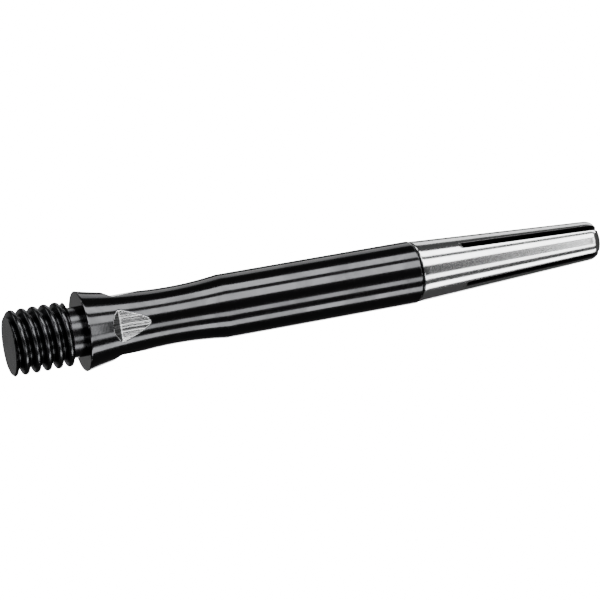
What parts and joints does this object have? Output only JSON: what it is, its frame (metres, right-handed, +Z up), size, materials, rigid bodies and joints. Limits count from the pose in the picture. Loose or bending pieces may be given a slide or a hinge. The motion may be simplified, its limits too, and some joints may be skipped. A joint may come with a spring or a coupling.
{
  "type": "dart shaft",
  "caption": "Dart shaft: a waisted metal stem with a 2BA stud and a flared collar at one end, and a slotted flight top that spins on a pin at the other.",
  "frame": {"origin": "on the shaft's axis, in the flat front face of the collar that seats on the dart's barrel", "axes": "+X along the shaft from the stud to the flight end, +Z up"},
  "size_m": [0.0462, 0.0058, 0.0058],
  "materials": {
    "black_titanium": "gloss",
    "bare_aluminium": "satin",
    "pin_steel": "satin",
    "bush_bronze": "satin",
    "washer_plastic": "matte"
  },
  "bodies": {
    "shaft": {"shaft_body": "black_titanium", "axle_pin": "pin_steel", "thrust_washer": "washer_plastic"},
    "top": {"spinning_top": "bare_aluminium", "pivot_bush": "bush_bronze", "head_washer": "washer_plastic"}
  },
  "joints": [
    {"name": "top_spin", "type": "hinge", "parent": "shaft", "child": "top", "pos_m": [0.0258, 0, 0], "axis": [1, 0, 0], "continuous": true}
  ]
}
